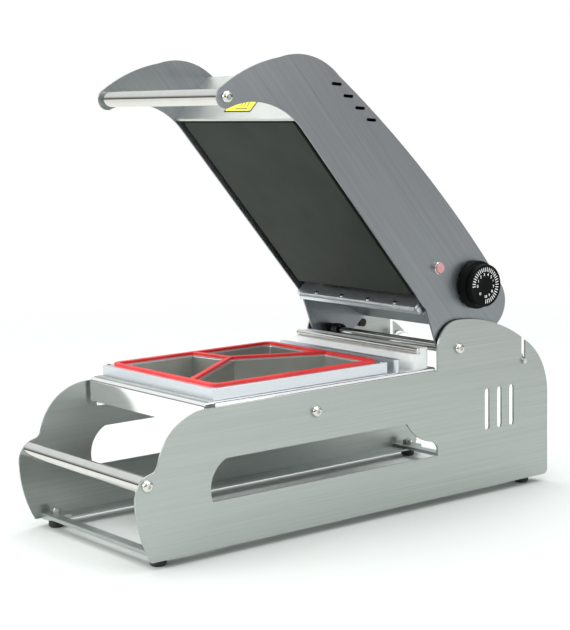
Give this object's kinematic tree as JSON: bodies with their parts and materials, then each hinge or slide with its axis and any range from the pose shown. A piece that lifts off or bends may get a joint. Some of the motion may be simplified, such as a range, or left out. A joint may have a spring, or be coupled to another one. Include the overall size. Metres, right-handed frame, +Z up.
{
  "type": "manual tray sealing machine",
  "caption": "Hand-operated tray sealer in brushed steel: hinged heated head with handle and thermostat knob over a lift-out die with a red silicone seal.",
  "frame": {"origin": "on the floor, under the crossing of the mid-plane between the side plates and half the side plates' bottom length", "axes": "+Z up; +Y from the operator's handles to the film roll at the rear; +X towards the thermostat knob"},
  "size_m": [0.2376, 0.5554, 0.4795],
  "materials": {
    "brushed_steel": "brushed",
    "polished_steel": "polished",
    "chrome": "polished",
    "plated_steel": "satin",
    "black_steel": "blackened",
    "aluminium": "satin",
    "coated_aluminium": "non-stick coated",
    "copper_bulb": "satin",
    "silicone": "matte",
    "rubber": "matte",
    "white_nylon": "matte",
    "black_plastic": "matte",
    "board": "matte",
    "lens": "glossy",
    "label": "glossy"
  },
  "bodies": {
    "base": {"base_side_plate_right": "brushed_steel", "base_side_plate_left": "brushed_steel", "deck_plate": "brushed_steel", "front_cross_bar": "brushed_steel", "rear_cross_bar": "brushed_steel", "rubber_feet": "rubber", "cross_bar_bolts": "plated_steel", "cross_bar_nuts": "plated_steel", "lower_handle_tube": "chrome", "lower_handle_screws": "chrome", "deck_screws": "chrome", "hinge_pin": "chrome", "hinge_screws": "chrome", "shaft_collars": "black_plastic", "hinge_springs": "black_steel", "open_stops": "rubber", "anvil_bar": "aluminium", "film_guide_block": "white_nylon", "film_guide_rod": "chrome", "film_tear_strip": "polished_steel", "die_frame": "aluminium", "silicone_seal": "silicone", "tray_pocket_front": "polished_steel", "tray_pocket_side": "polished_steel", "tray_pocket_rear": "polished_steel", "die_corner_screws": "plated_steel"},
    "film_shaft": {"film_shaft": "plated_steel"},
    "film_cones": {"film_cone_left": "white_nylon", "film_cone_right": "white_nylon", "cone_thumb_screws": "plated_steel"},
    "head": {"head_side_plate_right": "brushed_steel", "head_side_plate_left": "brushed_steel", "head_top_cover": "brushed_steel", "head_front_panel": "polished_steel", "head_rear_panel": "brushed_steel", "hot_plate": "coated_aluminium", "heating_element": "plated_steel", "insulation_board": "board", "hot_plate_studs": "plated_steel", "stud_nuts": "plated_steel", "terminal_block": "white_nylon", "thermostat_body": "black_plastic", "sensor_bulb": "copper_bulb", "lamp_bezel": "chrome", "lamp_lens": "lens", "cable_gland": "black_plastic", "head_handle_tube": "chrome", "head_handle_screws": "chrome", "hinge_bushes": "black_plastic", "knife_bar": "aluminium", "knife_blade": "polished_steel", "knife_screws": "plated_steel", "warning_label": "label"},
    "knob": {"thermostat_knob": "black_plastic"}
  },
  "joints": [
    {"name": "head_hinge", "type": "hinge", "parent": "base", "child": "head", "pos_m": [0, 0.1305, 0.167], "axis": [1, 0, 0], "range_deg": [0, 50], "stiffness_Nm_per_rad": 6, "springref_deg": -68.75},
    {"name": "thermostat_turn", "type": "hinge", "parent": "head", "child": "knob", "pos_m": [0.106, 0.15917, 0.23348], "axis": [1, 0, 0], "range_deg": [-270, 0]},
    {"name": "film_shaft_lift", "type": "slide", "parent": "base", "child": "film_shaft", "axis": [0, 0, 1], "range_m": [0, 0.045]},
    {"name": "film_cones_spin", "type": "hinge", "parent": "film_shaft", "child": "film_cones", "pos_m": [0, 0.2305, 0.142], "axis": [1, 0, 0], "continuous": true}
  ]
}
